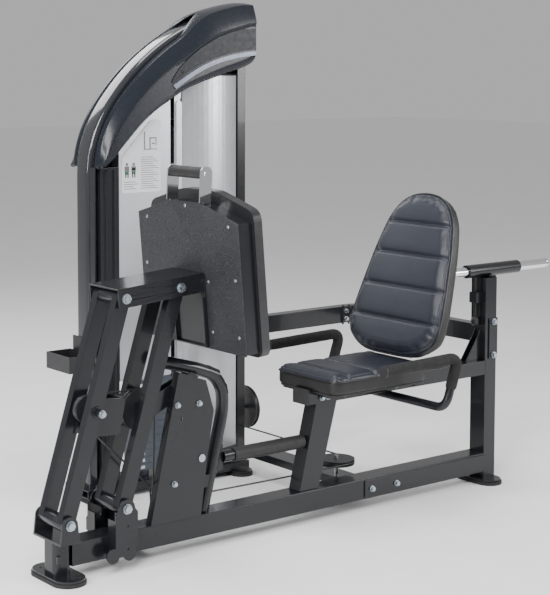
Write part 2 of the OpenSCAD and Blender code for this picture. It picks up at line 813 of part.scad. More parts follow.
top_pulley(top_centres[1]);  // top_pulley_inner
lifted_plates();
selector_pin();
back_pad();
slide_tube();
pop_pin();
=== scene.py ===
"""Looks of the seated leg press: materials, cushions, covers, cables and small fittings."""

import json
import math

import bmesh
import bpy
from mathutils import Matrix, Vector
from mathutils.bvhtree import BVHTree


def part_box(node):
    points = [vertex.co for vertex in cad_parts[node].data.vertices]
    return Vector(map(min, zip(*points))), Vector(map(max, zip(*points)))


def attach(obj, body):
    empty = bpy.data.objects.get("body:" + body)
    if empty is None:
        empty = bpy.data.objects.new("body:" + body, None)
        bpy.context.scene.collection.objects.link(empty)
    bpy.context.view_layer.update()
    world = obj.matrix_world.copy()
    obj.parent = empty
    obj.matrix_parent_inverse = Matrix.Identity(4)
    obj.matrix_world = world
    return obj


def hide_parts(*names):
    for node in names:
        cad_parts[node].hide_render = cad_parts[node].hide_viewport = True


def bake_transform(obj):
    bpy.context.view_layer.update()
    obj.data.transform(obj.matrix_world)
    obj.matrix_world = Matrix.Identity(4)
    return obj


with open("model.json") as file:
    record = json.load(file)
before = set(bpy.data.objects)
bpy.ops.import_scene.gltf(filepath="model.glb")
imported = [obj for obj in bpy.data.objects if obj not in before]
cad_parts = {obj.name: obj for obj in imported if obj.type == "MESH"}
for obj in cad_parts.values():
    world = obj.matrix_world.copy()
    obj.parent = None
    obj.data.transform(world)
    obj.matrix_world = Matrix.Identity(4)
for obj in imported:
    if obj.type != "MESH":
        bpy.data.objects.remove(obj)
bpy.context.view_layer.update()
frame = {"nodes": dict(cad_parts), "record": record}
NODES = frame["nodes"]
SCENE = bpy.context.scene
MM = 0.001

# ---- camera and lights ---------------------------------------------------------------
IMAGE_H, SENSOR = 595, 36.0
FOCAL_PX = 1534.92


def camera():
    data = bpy.data.cameras.new("camera")
    data.sensor_fit = "VERTICAL"
    data.sensor_height = SENSOR
    data.lens = FOCAL_PX * SENSOR / IMAGE_H
    data.shift_x = 0.0908
    data.shift_y = -0.1846
    data.clip_end = 60
    obj = bpy.data.objects.new("camera", data)
    obj.location = (-2.4215, -4.0372, 1.600)
    obj.rotation_euler = (math.radians(90 - 4.599), 0, math.radians(-37.137))
    SCENE.collection.objects.link(obj)
    SCENE.camera = obj


def area(name, place, aim, size, power, color=(1, 1, 1)):
    data = bpy.data.lights.new(name, "AREA")
    data.shape = "RECTANGLE"
    data.size, data.size_y = size
    data.energy = power
    data.color = color
    obj = bpy.data.objects.new(name, data)
    obj.location = place
    obj.rotation_euler = (Vector(aim) - Vector(place)).to_track_quat("-Z", "Y").to_euler()
    SCENE.collection.objects.link(obj)


def studio():
    world = bpy.data.worlds.new("studio")
    world.use_nodes = True
    world.node_tree.nodes["Background"].inputs[0].default_value = (1, 1, 1, 1)
    world.node_tree.nodes["Background"].inputs[1].default_value = 0.5
    SCENE.world = world
    area("key", (-2.6, -2.6, 3.6), (0.8, 0.1, 0.6), (1.6, 2.2), 230)
    area("side", (4.2, -3.0, 2.4), (1.0, 0.2, 0.7), (1.2, 2.6), 130)
    area("back", (0.8, 4.2, 3.4), (0.8, 0.4, 0.9), (2.6, 1.6), 70)
    area("strip", (-3.2, -0.4, 2.4), (0.4, 0.0, 0.8), (0.25, 2.6), 120)
    area("top", (0.8, 0.2, 4.6), (0.9, 0.2, 0.0), (3.0, 1.6), 110)
    bm = bmesh.new()
    bmesh.ops.create_grid(bm, x_segments=1, y_segments=1, size=30)
    floor = add("floor", bm, paint("floor", (0.93, 0.93, 0.93), 0.6, 0.0, 0.02, 40))


# ---- materials -----------------------------------------------------------------------
def shader(name):
    mat = bpy.data.materials.new(name)
    mat.use_nodes = True
    tree = mat.node_tree
    return mat, tree, tree.nodes["Principled BSDF"]


def node(tree, kind, **values):
    made = tree.nodes.new(kind)
    for key, value in values.items():
        if hasattr(made, key):
            setattr(made, key, value)
        else:
            made.inputs[key].default_value = value
    return made


def coords(tree):
    return node(tree, "ShaderNodeTexCoord").outputs["Object"]


def noise(tree, scale, detail=4.0, where=None):
    made = node(tree, "ShaderNodeTexNoise", Scale=scale, Detail=detail)
    tree.links.new(where or coords(tree), made.inputs["Vector"])
    return made.outputs["Fac"]


def ramp(tree, source, low, high, a=0.3, b=0.7):
    made = node(tree, "ShaderNodeValToRGB")
    made.color_ramp.elements[0].position = a
    made.color_ramp.elements[1].position = b
    made.color_ramp.elements[0].color = (*low, 1)
    made.color_ramp.elements[1].color = (*high, 1)
    tree.links.new(source, made.inputs[0])
    return made.outputs[0]


def bump(tree, bsdf, height, strength, distance):
    made = node(tree, "ShaderNodeBump", Strength=strength, Distance=distance)
    tree.links.new(height, made.inputs["Height"])
    tree.links.new(made.outputs[0], bsdf.inputs["Normal"])
    return made


def paint(name, color, rough, metal=0.0, vary=0.06, grain=900, coat=0.0, height=0.00012, strength=0.35,
          spec=0.5):
    """Painted or moulded surface: slight tone drift, grain in the bump, uneven gloss."""
    mat, tree, bsdf = shader(name)
    tone = noise(tree, 5.0, 3.0)
    dark = tuple(max(0, c * (1 - vary)) for c in color)
    light = tuple(min(1, c * (1 + vary)) for c in color)
    tree.links.new(ramp(tree, tone, dark, light), bsdf.inputs["Base Color"])
    gloss = noise(tree, 60.0, 2.0)
    tree.links.new(ramp(tree, gloss, (rough * 0.88,) * 3, (min(1, rough * 1.1),) * 3),
                   bsdf.inputs["Roughness"])
    bsdf.inputs["Metallic"].default_value = metal
    bsdf.inputs["Coat Weight"].default_value = coat
    bsdf.inputs["Specular IOR Level"].default_value = spec
    bump(tree, bsdf, noise(tree, grain, 2.0), strength, height)
    return mat


def speckled():
    """Powder coat with fine light and dark flecks."""
    mat, tree, bsdf = shader("speckled_paint")
    flecks = noise(tree, 420.0, 3.0)
    tree.links.new(ramp(tree, flecks, (0.010, 0.010, 0.012), (0.085, 0.088, 0.096), 0.45, 0.68),
                   bsdf.inputs["Base Color"])
    bsdf.inputs["Metallic"].default_value = 0.35
    bsdf.inputs["Roughness"].default_value = 0.5
    bump(tree, bsdf, flecks, 0.6, 0.0004)
    return mat


def leather(name, color, rough=0.42):
    """Grained vinyl: cells for the grain and fine noise between them."""
    mat, tree, bsdf = shader(name)
    where = coords(tree)
    cells = node(tree, "ShaderNodeTexVoronoi", Scale=620.0)
    tree.links.new(where, cells.inputs["Vector"])
    tone = noise(tree, 9.0, 4.0, where)
    tree.links.new(ramp(tree, tone, tuple(c * 0.85 for c in color), tuple(c * 1.15 for c in color)),
                   bsdf.inputs["Base Color"])
    tree.links.new(ramp(tree, noise(tree, 30.0, 3.0, where), (rough * 0.9,) * 3, (rough * 1.15,) * 3),
                   bsdf.inputs["Roughness"])
    first = bump(tree, bsdf, cells.outputs["Distance"], 0.45, 0.0005)
    second = node(tree, "ShaderNodeBump", Strength=0.3, Distance=0.002)
    tree.links.new(noise(tree, 42.0, 3.0, where), second.inputs["Height"])
    tree.links.new(second.outputs[0], first.inputs["Normal"])
    return mat


def chrome(name="chrome_rod", color=(0.82, 0.83, 0.85), rough=0.09):
    mat, tree, bsdf = shader(name)
    tree.links.new(ramp(tree, noise(tree, 12.0), tuple(c * 0.96 for c in color), color),
                   bsdf.inputs["Base Color"])
    bsdf.inputs["Metallic"].default_value = 1
    streak = noise(tree, 160.0, 2.0)
    tree.links.new(ramp(tree, streak, (rough * 0.7,) * 3, (rough * 1.5,) * 3),
                   bsdf.inputs["Roughness"])
    return mat


def make_materials():
    made = {
        "frame_paint": paint("frame_paint", (0.011, 0.0115, 0.014),
                             0.22, 0.0, 0.05, 500, 0.15, 0.00004, 0.15, 0.32),
        "foot_rubber": paint("foot_rubber", (0.010, 0.010, 0.011), 0.7, 0, 0.2, 400),
        "zinc_bolt": chrome("zinc_bolt", (0.40, 0.44, 0.48), 0.27),
        "cap_plastic": paint("cap_plastic", (0.012, 0.012, 0.013), 0.45, 0, 0.1, 500),
        "pad_leather": leather("pad_leather", (0.017, 0.020, 0.030), 0.36),
        "grip_rubber": paint("grip_rubber", (0.010, 0.010, 0.011), 0.6, 0, 0.15, 600, 0, 0.0003),
        "grip_foam": paint("grip_foam", (0.010, 0.010, 0.011), 0.9, 0, 0.25, 900, 0, 0.0008, 0.8),
        "arc_paint": paint("arc_paint", (0.020, 0.022, 0.027), 0.13, 0.1, 0.04, 300, 0.6, 0.00002, 0.05, 0.5),
        "panel_silver": paint("panel_silver", (0.52, 0.535, 0.56), 0.34, 0.8, 0.02, 900, 0.05, 0.00002, 0.1),
        "shroud_plastic": paint("shroud_plastic", (0.010, 0.0125, 0.018),
                             0.27, 0.0, 0.03, 300, 0.05, 0.00001, 0.04, 0.30),
        "tray_plastic": paint("tray_plastic", (0.014, 0.014, 0.016), 0.4, 0, 0.1, 500, 0.1, 0.0001),
        "chrome_rod": chrome(),
        "weight_iron": paint("weight_iron", (0.10, 0.115, 0.14), 0.42, 0.4, 0.08, 500, 0, 0.0003),
        "cable_sheath": paint("cable_sheath", (0.02, 0.02, 0.021), 0.4, 0, 0.1, 900),
        "speckled_paint": speckled(),
        "plate_plastic": paint("plate_plastic", (0.012, 0.012, 0.014), 0.36, 0, 0.08, 500, 0.2, 0.0001),
        "pulley_nylon": paint("pulley_nylon", (0.016, 0.016, 0.018), 0.4, 0, 0.1, 400),
        "pin_yellow": paint("pin_yellow", (0.55, 0.30, 0.02), 0.3, 0, 0.05, 500, 0.4),
        "pad_side": leather("pad_side", (0.006, 0.006, 0.007), 0.45),
        "pad_piping": leather("pad_piping", (0.008, 0.008, 0.009), 0.34),
        "pad_thread": paint("pad_thread", (0.05, 0.05, 0.055), 0.8, 0, 0.1, 2500),
        "shroud_panel": paint("shroud_panel", (0.006, 0.0075, 0.011),
                             0.36, 0.0, 0.03, 300, 0.0, 0.00001, 0.04, 0.25),
        "stripe_grey": paint("stripe_grey", (0.13, 0.145, 0.185), 0.34, 0.5, 0.03, 500, 0.1, 0.00005),
        "card_white": paint("card_white", (0.66, 0.67, 0.69), 0.45, 0, 0.02, 500),
        "card_grey": paint("card_grey", (0.12, 0.12, 0.13), 0.5, 0, 0.05, 500),
        "card_green": paint("card_green", (0.05, 0.30, 0.12), 0.5, 0, 0.05, 500),
    }
    return made


# ---- mesh helpers --------------------------------------------------------------------
def add(name, bm, material, smooth=True, angle=35):
    mesh = bpy.data.meshes.new(name)
    bmesh.ops.recalc_face_normals(bm, faces=bm.faces)
    bm.to_mesh(mesh)
    bm.free()
    obj = bpy.data.objects.new(name, mesh)
    SCENE.collection.objects.link(obj)
    mesh.materials.append(material)
    if smooth:
        mesh.shade_smooth()
        mesh.set_sharp_from_angle(angle=math.radians(angle))
    return obj


def piece(name, bm, slot, body, replaces=(), angle=35):
    """A new visible piece: its material slot, the body it rides on and what it stands for."""
    obj = add(name, bm, MATS[slot], angle=angle)
    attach(obj, body)
    if replaces:
        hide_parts(*replaces)
    return obj


def edge_soften(obj, width, segments=2):
    """Rounds the hard edges of a CAD node without touching its mesh."""
    weld = obj.modifiers.new("weld", "WELD")
    weld.merge_threshold = 0.00002
    round_ = obj.modifiers.new("round", "BEVEL")
    round_.width = width
    round_.segments = segments
    round_.limit_method = "ANGLE"
    round_.angle_limit = math.radians(40)
    round_.harden_normals = True
    round_.use_clamp_overlap = True


def bend(points, cut, steps=8):
    """Rounds the corners of a polyline with quadratic curves that start cut before each one."""
    points = [Vector(p) for p in points]
    out = [points[0]]
    for before, here, after in zip(points, points[1:], points[2:]):
        a = here + (before - here).normalized() * cut
        b = here + (after - here).normalized() * cut
        for i in range(steps + 1):
            s = i / steps
            out.append((1 - s) ** 2 * a + 2 * s * (1 - s) * here + s * s * b)
    out.append(points[-1])
    return out


def sweep(bm, points, radius, sides=24, cap=True):
    """Round tube along points; radius may be one number or one for each point."""
    points = [Vector(p) for p in points]
    n = len(points)
    radii = radius if isinstance(radius, (list, tuple)) else [radius] * n
    tangents = [(points[min(i + 1, n - 1)] - points[max(i - 1, 0)]).normalized() for i in range(n)]
    side = Vector((0.12, 0.7, 0.7))
    rings = []
    for p, t, r in zip(points, tangents, radii):
        side = (side - side.dot(t) * t).normalized()
        other = t.cross(side)
        rings.append([bm.verts.new(p + r * (math.cos(a) * side + math.sin(a) * other))
                      for a in (2 * math.pi * k / sides for k in range(sides))])
    for low, high in zip(rings, rings[1:]):
        for k in range(sides):
            bm.faces.new((low[k], low[(k + 1) % sides], high[(k + 1) % sides], high[k]))
    if cap:
        bm.faces.new(rings[0])
        bm.faces.new(rings[-1])
    return bm


def prism(bm, outline, depth, to_world):
    """Extrudes a closed outline of (u, v) points by depth along w; to_world maps (u, v, w)."""
    low = [bm.verts.new(to_world(u, v, 0)) for u, v in outline]
    high = [bm.verts.new(to_world(u, v, depth)) for u, v in outline]
    n = len(outline)
    for i in range(n):
        bm.faces.new((low[i], low[(i + 1) % n], high[(i + 1) % n], high[i]))
    bm.faces.new(low)
    bm.faces.new(high)
    return bm


def rounded(outline, cut, steps=5):
    """Rounds every corner of a closed outline."""
    n = len(outline)
    out = []
    for i in range(n):
        before, here, after = (Vector(outline[(i + k) % n]) for k in (-1, 0, 1))
        c = min(cut, (before - here).length * 0.45, (after - here).length * 0.45)
        a = here + (before - here).normalized() * c
        b = here + (after - here).normalized() * c
        for j in range(steps + 1):
            s = j / steps
            p = (1 - s) ** 2 * a + 2 * s * (1 - s) * here + s * s * b
            out.append((p.x, p.y))
    return out


def bevel_edges(bm, width, segments=3, angle=30):
    edges = [e for e in bm.edges if len(e.link_faces) == 2
             and e.calc_face_angle(0) > math.radians(angle)]
    bmesh.ops.bevel(bm, geom=edges, offset=width, segments=segments, profile=0.5,
                    affect="EDGES", clamp_overlap=True)


camera()
MATS = make_materials()
studio()

SLOT_OF = {s["node"]: s["material_slot"] for s in frame["record"]["subparts"]}
for name, obj in NODES.items():
    obj.data.materials.clear()
    obj.data.materials.append(MATS[SLOT_OF[name]])

SOFTEN = {"rail": 2.5, "seat_tube": 2.5, "rear_post": 2.0, "cross_tube": 3.0, "front_arm": 5.5,
          "rear_arm": 5.5, "beam": 1.2, "left_clevis": 1.0, "middle_bracket": 1.0,
          "guard_plate": 0.8, "splice_plates": 0.8, "tower_base": 2.0, "lower_link": 1.0,
          "front_link": 2.0, "tower_columns": 2.5, "tray": 1.5, "weight_plates": 0.8,
          "lifted_plates": 0.8, "rear_plates": 0.8, "seat_post": 2.0, "footplate_pan": 1.5,
          "footplate_sheet": 0.6, "arm_pulley_bracket": 1.0, "tube_caps": 1.0,
          "plate_handle": 0.8, "seat_plate": 0.8, "tower_panels": 0.6}
for name, width in SOFTEN.items():
    edge_soften(NODES[name], width * MM)

# ---- cushions ------------------------------------------------------------------------
BACK_TILT = math.radians(19.5)
BACK_ORIGIN = Vector((1.409, 0, 0.650))
BACK_TURN = Matrix.Rotation(BACK_TILT, 3, "Y")
BACK_HALF = [(-0.102, 0.080), (-0.094, 0.132), (-0.074, 0.178), (-0.040, 0.222), (0.0, 0.234),
             (0.070, 0.233), (0.208, 0.213), (0.308, 0.196), (0.410, 0.168), (0.469, 0.130),
             (0.503, 0.075)]
BACK_SEAMS = (0.030, 0.152, 0.274, 0.392)
SEAT_SEAMS = (1.075, 1.200)
PAD_THICK = 0.060
SEAT_LOW, SEAT_TOP = 0.4622, 0.532


def back_place(u, v, w):
    """Pad frame to row frame: u across, v up the pad, w into it from its front face."""
    return BACK_ORIGIN + BACK_TURN @ Vector((w, u, v))


def seat_place(u, v, w):
    """Seat frame to row frame: u across, v along the rail, w down from the top face."""
    return Vector((v, u, SEAT_TOP - w))


def scaled(outline, amount):
    """Moves an outline inwards by amount, corner by corner."""
    n = len(outline)
    out = []
    for i in range(n):
        a, b, c = (Vector(outline[(i + k) % n]) for k in (-1, 0, 1))
        d = ((b - a).normalized() + (c - b).normalized()).normalized()
        out.append(tuple(b + Vector((-d.y, d.x)) * amount))
    return out


def inflate(obj, pinned, cap, frames=18, pressure=4.0):
    """Blows a closed mesh up with cloth simulation; no point moves by more than cap."""
    mesh = obj.data
    rest = [v.co.copy() for v in mesh.vertices]
    group = obj.vertex_groups.new(name="pin")
    group.add([i for i, p in enumerate(rest) if pinned(p)], 1.0, "REPLACE")
    mod = obj.modifiers.new("cloth", "CLOTH")
    mod.settings.quality = 4
    mod.settings.mass = 0.3
    mod.settings.tension_stiffness = 30
    mod.settings.compression_stiffness = 30
    mod.settings.bending_stiffness = 12
    mod.settings.use_pressure = True
    mod.settings.uniform_pressure_force = pressure
    mod.settings.vertex_group_mass = "pin"
    mod.settings.effector_weights.gravity = 0
    mod.collision_settings.use_collision = False
    mod.point_cache.frame_start = 1
    mod.point_cache.frame_end = frames
    for f in range(1, frames + 1):
        SCENE.frame_set(f)
    deps = bpy.context.evaluated_depsgraph_get()
    swollen = obj.evaluated_get(deps).to_mesh()
    moved = [v.co.copy() for v in swollen.vertices]
    obj.evaluated_get(deps).to_mesh_clear()
    obj.modifiers.remove(mod)
    SCENE.frame_set(1)
    for v, a, b in zip(mesh.vertices, rest, moved):
        step = b - a
        v.co = a + step * min(1.0, cap / max(step.length, 1e-9))


def apply_modifiers(obj):
    deps = bpy.context.evaluated_depsgraph_get()
    mesh = bpy.data.meshes.new_from_object(obj.evaluated_get(deps))
    obj.modifiers.clear()
    old = obj.data
    obj.data = mesh
    bpy.data.meshes.remove(old)


def cushion(name, outline, thick, place, voxel, cap, inset, seams, rim, side_from, body, stands_for):
    """Upholstered pad: a remeshed block, blown up, then pressed in along its seams."""
    bm = bmesh.new()
    prism(bm, scaled(outline, inset), thick - inset, lambda u, v, w: place(u, v, w + inset))
    bevel_edges(bm, 0.009, 3, 50)
    obj = add(name, bm, MATS["pad_leather"])
    obj.data.materials.append(MATS["pad_side"])
    remesh = obj.modifiers.new("remesh", "REMESH")
    remesh.mode = "VOXEL"
    remesh.voxel_size = voxel
    apply_modifiers(obj)
    origin = place(0, 0, 0)
    axes = [(place(*d) - origin).normalized() for d in ((1, 0, 0), (0, 1, 0), (0, 0, 1))]

    def local(p):
        return [(p - origin).dot(a) for a in axes]

    inflate(obj, lambda p: local(p)[2] > 0.018, cap)
    calm = obj.modifiers.new("calm", "SMOOTH")
    calm.factor = 0.5
    calm.iterations = 9
    sub = obj.modifiers.new("sub", "SUBSURF")
    sub.levels = sub.render_levels = 1
    apply_modifiers(obj)
    edge = [Vector(p) for p in scaled(outline, inset)]
    for v in obj.data.vertices:
        u, s, w = local(v.co)
        if w > side_from:
            continue
        near = min(abs(s - line) for line in seams)
        inside = rim_distance(edge, u, s)
        fade = min(1.0, max(0.0, (inside - 0.004) / 0.012))
        press = 0.0085 * math.exp(-(near / 0.0075) ** 2) + 0.003 * math.exp(-(near / 0.026) ** 2)
        groove = 0.0032 * math.exp(-((inside - rim) / 0.0030) ** 2)
        crown = 0.0035 * min(1.0, max(0.0, inside / 0.05))
        v.co += axes[2] * (press * fade + groove - crown)
    for poly in obj.data.polygons:
        w = local(poly.center)[2]
        poly.material_index = 1 if w > side_from else 0
    obj.data.shade_smooth()
    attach(obj, body)
    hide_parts(*stands_for)
    return obj


def rim_distance(edge, u, s):
    """Distance from a point to a closed outline."""
    p = Vector((u, s))
    best = 9.0
    for a, b in zip(edge, edge[1:] + edge[:1]):
        ab = b - a
        t = min(1.0, max(0.0, (p - a).dot(ab) / max(ab.length_squared, 1e-12)))
        best = min(best, (a + ab * t - p).length)
    return best


def surface_line(obj, points, direction, reach=0.08):
    """Drops points onto a piece along a direction, to lay stitches on it."""
    tree = BVHTree.FromPolygons([v.co for v in obj.data.vertices],
                                [p.vertices for p in obj.data.polygons])
    out = []
    for p in points:
        hit = tree.ray_cast(p - direction * reach, direction, 2 * reach)
        if hit[0] is not None:
            out.append(hit[0])
    return out


def piping(name, outline, place, inset, depth, radius, body):
    """Piping cord sewn round the pad where its face meets its side."""
    line = rounded(scaled(outline, inset), 0.03, 4)
    loop = [place(u, v, depth) for u, v in line]
    loop.append(loop[0])
    bm = sweep(bmesh.new(), loop, radius, 8, cap=False)
    obj = piece(name, bm, "pad_piping", body)


def stitches(name, pad_obj, rows, direction, body, length=0.0055, pitch=0.0085):
    """Rows of small thread stitches on a pad's face."""
    bm = bmesh.new()
    for a, b in rows:
        n = max(2, int((b - a).length / pitch))
        steps = [a.lerp(b, (i + 0.5) / n) for i in range(n)]
        along = (b - a).normalized()
        tops = surface_line(pad_obj, steps, direction)
        for p in tops:
            lift = -direction * 0.0004
            sweep(bm, [p - along * length / 2, p + lift * 2, p + along * length / 2], 0.00055, 5)
    piece(name, bm, "pad_thread", body)


def board(name, outline, inset, w0, w1, place, body):
    """Moulded board on the underside of a pad."""
    bm = bmesh.new()
    prism(bm, rounded(scaled(outline, inset), 0.03), w1 - w0, lambda u, v, w: place(u, v, w0 + w))
    bevel_edges(bm, 0.002, 2, 40)
    piece(name, bm, "cap_plastic", body)


def cushions():
    back = [(h, v) for v, h in BACK_HALF] + [(0.0, 0.514)] + [(-h, v) for v, h in BACK_HALF[::-1]]
    back = rounded(back, 0.05, 3)
    pad = cushion("back_cushion", back, PAD_THICK - 0.006, back_place, 0.0055, 0.009,
                  0.004, BACK_SEAMS, 0.012, 0.017, "backrest", ["back_pad"])
    piping("back_piping", back, back_place, 0.0035, 0.0170, 0.0030, "backrest")
    into = BACK_TURN @ Vector((1, 0, 0))
    rows = []
    for seam in BACK_SEAMS:
        half = width_at(back, seam) - 0.030
        rows.append((back_place(-half, seam + 0.0115, 0), back_place(half, seam + 0.0115, 0)))
    stitches("back_stitches", pad, rows, into, "backrest")
    board("back_board", back, 0.012, PAD_THICK - 0.0065, PAD_THICK, back_place, "backrest")

    x0, x1 = 0.994, 1.458
    half = 0.164
    seat = rounded([(-half, x0), (half, x0), (half, x1), (-half, x1)], 0.05, 5)
    pad = cushion("seat_cushion", seat, SEAT_TOP - SEAT_LOW - 0.006, seat_place,
                  0.0055, 0.008, 0.004, SEAT_SEAMS, 0.012, 0.017, "frame",
                  ["seat_pad"])
    piping("seat_piping", seat, seat_place, 0.0035, 0.0170, 0.0030, "frame")
    rows = [(Vector((x + 0.0115, -half + 0.03, SEAT_TOP)), Vector((x + 0.0115, half - 0.03, SEAT_TOP)))
            for x in SEAT_SEAMS]
    stitches("seat_stitches", pad, rows, Vector((0, 0, -1)), "frame")
    board("seat_board", seat, 0.010, SEAT_TOP - SEAT_LOW - 0.0065, SEAT_TOP - SEAT_LOW - 0.0003,
          seat_place, "frame")


def width_at(outline, v):
    """Half width of a closed outline at height v."""
    best = 0.0
    for a, b in zip(outline, outline[1:] + outline[:1]):
        if (a[1] - v) * (b[1] - v) <= 0 and a[1] != b[1]:
            t = (v - a[1]) / (b[1] - a[1])
            best = max(best, a[0] + t * (b[0] - a[0]))
    return best


# ---- bent tubes, grips and cables ----------------------------------------------------
D_PATH = [(0.385, 0, 0.640), (0.560, 0, 0.592), (0.628, 0, 0.560), (0.648, 0, 0.470),
          (0.556, 0, 0.117)]
HANDLE_PATH = [(1.093, -0.310, 0.569), (1.442, -0.310, 0.578), (1.382, -0.310, 0.404),
               (1.382, 0.310, 0.404), (1.442, 0.310, 0.578), (1.093, 0.310, 0.569)]
CABLE_R = 0.003


def handle_tubes():
    bm = sweep(bmesh.new(), bend(HANDLE_PATH, 0.046, 10), 0.0155, 28)
    piece("handle_bent_tube", bm, "frame_paint", "frame", ["handle_tube"])
    bm = bmesh.new()
    for side in (-1, 1):
        path = [Vector((x, abs(y) * side, z)) for x, y, z in bend(HANDLE_PATH, 0.046, 10)[:12]]
        path = densify(path + [Vector((1.405, 0.310 * side, 0.4707))], 0.006)
        n = len(path)
        shape = [0.0197 - 0.0035 * math.exp(-min(i, n - 1 - i) / 0.8) for i in range(n)]
        sweep(bm, path, shape, 32)
    grips = piece("handle_foam", bm, "grip_foam", "frame", ["handle_grips"])


def d_frame_skin():
    """Smooth skin over the bent tube's facets."""
    bm = sweep(bmesh.new(), bend(D_PATH, 0.060, 12), 0.0217, 32)
    piece("d_frame_tube", bm, "frame_paint", "frame")


def ring_points(center, radius, a0, a1, steps):
    """Points on an arc, in the X-Z plane."""
    out = []
    for i in range(steps + 1):
        a = math.radians(a0 + (a1 - a0) * i / steps)
        out.append(Vector((center[0] + radius * math.cos(a), 0, center[1] + radius * math.sin(a))))
    return out


def densify(points, step):
    out = []
    for a, b in zip(points, points[1:]):
        n = max(1, int((b - a).length / step))
        out += [a.lerp(b, i / n) for i in range(n)]
    return out + [points[-1]]


GROOVE = 0.0033
ARM_PULLEY, ARM_R = (0.105, 0.522), 0.038
UP_PULLEY, UP_R = (0.300, 0.495), 0.062
LOW_PULLEY, LOW_R = (0.412, 0.222), 0.050
FLAT_PULLEY, FLAT_R = (1.240, 0.100), 0.062
TOWER_PULLEY, TOWER_R = (1.307, 0.727, 0.236), 0.079
DROP_DIR = Vector((-0.968, -0.252, 0)).normalized()
TOP_Z, TOP_R = 1.450, 0.050
STEM = Vector((0.900, 0.700, 0))


def top_wrap(center, a0, a1):
    out = []
    for i in range(11):
        a = math.radians(a0 + (a1 - a0) * i / 10)
        r = TOP_R + GROOVE
        out.append(center + DROP_DIR * (r * math.cos(a)) + Vector((0, 0, r * math.sin(a))))
    return out


def cables():
    loop = [Vector((0.352, 0, 0.150)), Vector((0.346, 0, 0.233)), Vector((0.240, 0, 0.338))]
    loop += ring_points(ARM_PULLEY, ARM_R + GROOVE, -135, -269, 16)
    loop += [Vector((0.299, 0, 0.5604))]
    bm = sweep(bmesh.new(), densify(loop, 0.01), CABLE_R, 12)
    obj = add("cable_loop", bm, MATS["cable_sheath"])
    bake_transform(obj)
    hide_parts("cable_front")

    run = ring_points(UP_PULLEY, UP_R + GROOVE, 90, 1, 10)
    run += [Vector((0.364, 0, 0.400))]
    run += ring_points(LOW_PULLEY, LOW_R + GROOVE, 181, 270, 10)
    run += [Vector(p) for p in ((0.535, 0.027, 0.166), (0.900, 0.036, 0.158), (1.180, 0.035, 0.157))]
    for i in range(10):
        a = math.radians(-90 + 10 * i)
        r = FLAT_R + GROOVE
        run.append(Vector((FLAT_PULLEY[0] + r * math.cos(a), FLAT_PULLEY[1] + r * math.sin(a), 0.157)))
    run += [Vector((1.306, 0.400, 0.155))]
    for i in range(11):
        a = math.radians(-90 + 9 * i)
        r = TOWER_R + GROOVE
        run.append(Vector((TOWER_PULLEY[0], TOWER_PULLEY[1] + r * math.cos(a),
                           TOWER_PULLEY[2] + r * math.sin(a))))
    rise = Vector((TOWER_PULLEY[0], TOWER_PULLEY[1] + TOWER_R + GROOVE, 0))
    outer = rise + DROP_DIR * (TOP_R + GROOVE) + Vector((0, 0, TOP_Z))
    inner = STEM - DROP_DIR * (TOP_R + GROOVE) + Vector((0, 0, TOP_Z))
    run += top_wrap(outer, 180, 90) + top_wrap(inner, 90, 0)
    bm = sweep(bmesh.new(), run, CABLE_R, 12)
    piece("cable_run", bm, "cable_sheath", "frame", ["cable_rear"])

    low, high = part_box("cable_drop")
    line = densify([Vector((STEM.x, STEM.y, high.z)), Vector((STEM.x, STEM.y, low.z))], 0.02)
    bm = sweep(bmesh.new(), line, CABLE_R, 12)
    obj = add("cable_to_stack", bm, MATS["cable_sheath"])
    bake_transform(obj)
    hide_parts("cable_drop")


def arm_bolt():
    """Zinc bolt head and washer where the arm pulley's axle comes through the arm."""
    bm = bmesh.new()
    for radius, sides, y0, y1 in ((0.0126, 32, -0.0955, -0.0880), (0.0095, 6, -0.1044, -0.0955)):
        outline = [(ARM_PULLEY[0] + radius * math.cos(2 * math.pi * k / sides),
                    ARM_PULLEY[1] + radius * math.sin(2 * math.pi * k / sides)) for k in range(sides)]
        prism(bm, outline, y1 - y0, lambda x, z, w, y0=y0: Vector((x, y0 + w, z)))
    bevel_edges(bm, 0.0007, 2, 40)
    piece("arm_pulley_bolt", bm, "zinc_bolt", "front_arm")


# ---- footplate -----------------------------------------------------------------------
PLATE_TILT = math.radians(4.9)
PLATE_TURN = Matrix.Rotation(-PLATE_TILT, 3, "Y")
PLATE_ORIGIN = Vector((0.5095, 0, 0.900))


def plate_place(u, v, w):
    """Footplate frame to row frame: u across, v up, w from the rear sheet to the user."""
    return PLATE_ORIGIN + PLATE_TURN @ Vector((w, u, v))


def plate_outline(half, low, side, flat, high):
    return [(-half, low), (half, low), (half, side), (flat, high), (-flat, high), (-half, side)]


